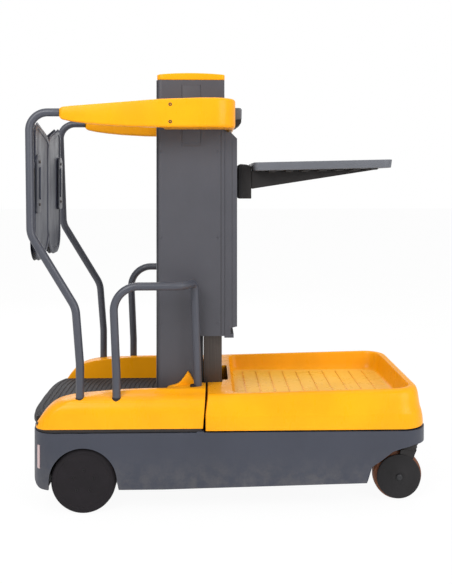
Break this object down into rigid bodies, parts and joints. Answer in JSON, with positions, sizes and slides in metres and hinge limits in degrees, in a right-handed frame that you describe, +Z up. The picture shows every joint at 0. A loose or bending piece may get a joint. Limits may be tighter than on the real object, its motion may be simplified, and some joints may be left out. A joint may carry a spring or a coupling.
{
  "type": "order picker truck",
  "caption": "Compact stand-on order picker with a lifting platform, telescopic column, saloon gate, load tray and raised shelf, on two drive wheels and two casters",
  "frame": {"origin": "on the floor under the middle of the truck's bounding box", "axes": "+X towards the load tray end, +Y to the truck's left when facing the load tray, +Z up"},
  "size_m": [1.5835, 0.75, 1.722],
  "materials": {
    "yellow_cover": "glossy moulded cover",
    "skirt_grey": "satin blue-grey paint",
    "column_grey": "satin grey paint",
    "rail_grey": "satin dark grey powder coat",
    "frame_black": "matt black paint",
    "mast_steel": "rolled steel, lightly greased",
    "tyre_black": "matt solid rubber",
    "hub_black": "matt black disc",
    "caster_tread": "brown-orange tread",
    "mat_rubber": "ribbed black rubber",
    "leaf_plastic": "blue-grey moulded plastic",
    "shelf_grey": "blue-grey moulded plastic",
    "console_black": "fine textured black plastic",
    "lamp_lens": "pale red lens",
    "battery_case": "painted steel case"
  },
  "bodies": {
    "chassis": {"chassis_skirt": "skirt_grey", "rear_lamp_left": "lamp_lens", "rear_lamp_right": "lamp_lens", "chassis_deck": "frame_black", "battery": "battery_case", "battery_carrier": "frame_black", "drive_unit_left": "frame_black", "drive_unit_right": "frame_black", "caster_mount_left": "frame_black", "caster_mount_right": "frame_black", "base_mast": "mast_steel", "load_tray": "yellow_cover"},
    "stage_two": {"mast_stage_two": "mast_steel"},
    "stage_three": {"mast_stage_three": "mast_steel"},
    "carriage": {"carriage_bracket": "frame_black", "platform_frame": "frame_black", "platform_mat": "mat_rubber", "platform_shell": "yellow_cover", "column": "column_grey", "column_cap": "yellow_cover", "shelf_guide": "column_grey", "yoke": "yellow_cover", "yoke_housing": "column_grey", "control_console": "console_black", "handrail_left": "rail_grey", "handrail_right": "rail_grey", "grab_rail_left": "rail_grey", "grab_rail_right": "rail_grey", "gate_hinge_left": "rail_grey", "gate_hinge_right": "rail_grey"},
    "shelf": {"shelf_slide": "column_grey", "shelf_tray": "shelf_grey", "shelf_brace": "shelf_grey"},
    "drive_wheel_left": {"drive_tyre_left": "tyre_black", "drive_hub_left": "hub_black"},
    "caster_left": {"caster_fork_left": "frame_black"},
    "caster_wheel_left": {"caster_tyre_left": "caster_tread", "caster_rim_left": "hub_black"},
    "gate_left": {"gate_leaf_left": "leaf_plastic"},
    "drive_wheel_right": {"drive_tyre_right": "tyre_black", "drive_hub_right": "hub_black"},
    "caster_right": {"caster_fork_right": "frame_black"},
    "caster_wheel_right": {"caster_tyre_right": "caster_tread", "caster_rim_right": "hub_black"},
    "gate_right": {"gate_leaf_right": "leaf_plastic"}
  },
  "joints": [
    {"name": "carriage_lift", "type": "slide", "parent": "stage_three", "child": "carriage", "axis": [0, 0, 1], "range_m": [0, 0.75]},
    {"name": "stage_two_lift", "type": "slide", "parent": "chassis", "child": "stage_two", "axis": [0, 0, 1], "range_m": [0, 0.75]},
    {"name": "stage_three_lift", "type": "slide", "parent": "stage_two", "child": "stage_three", "axis": [0, 0, 1], "range_m": [0, 0.75]},
    {"name": "shelf_slide_height", "type": "slide", "parent": "carriage", "child": "shelf", "axis": [0, 0, 1], "range_m": [-0.5, 0.1]},
    {"name": "drive_spin_left", "type": "hinge", "parent": "chassis", "child": "drive_wheel_left", "pos_m": [-0.5495, -0.322, 0.125], "axis": [0, 1, 0], "continuous": true},
    {"name": "caster_swivel_left", "type": "hinge", "parent": "chassis", "child": "caster_left", "pos_m": [0.737, -0.239, 0.208], "axis": [0, 0, 1], "continuous": true},
    {"name": "caster_spin_left", "type": "hinge", "parent": "caster_left", "child": "caster_wheel_left", "pos_m": [0.694, -0.239, 0.0975], "axis": [0, 1, 0], "continuous": true},
    {"name": "gate_swing_left", "type": "hinge", "parent": "carriage", "child": "gate_left", "pos_m": [-0.7675, -0.275, 1.265], "axis": [0, 0, -1], "range_deg": [0, 90], "stiffness_Nm_per_rad": 1.2},
    {"name": "drive_spin_right", "type": "hinge", "parent": "chassis", "child": "drive_wheel_right", "pos_m": [-0.5495, 0.322, 0.125], "axis": [0, 1, 0], "continuous": true},
    {"name": "caster_swivel_right", "type": "hinge", "parent": "chassis", "child": "caster_right", "pos_m": [0.737, 0.239, 0.208], "axis": [0, 0, 1], "continuous": true},
    {"name": "caster_spin_right", "type": "hinge", "parent": "caster_right", "child": "caster_wheel_right", "pos_m": [0.694, 0.239, 0.0975], "axis": [0, 1, 0], "continuous": true},
    {"name": "gate_swing_right", "type": "hinge", "parent": "carriage", "child": "gate_right", "pos_m": [-0.7675, 0.275, 1.265], "axis": [0, 0, 1], "range_deg": [0, 90], "stiffness_Nm_per_rad": 1.2}
  ],
  "couplings": [
    {"joint": "stage_two_lift", "follows": "carriage_lift", "ratio": 1},
    {"joint": "stage_three_lift", "follows": "carriage_lift", "ratio": 1}
  ]
}
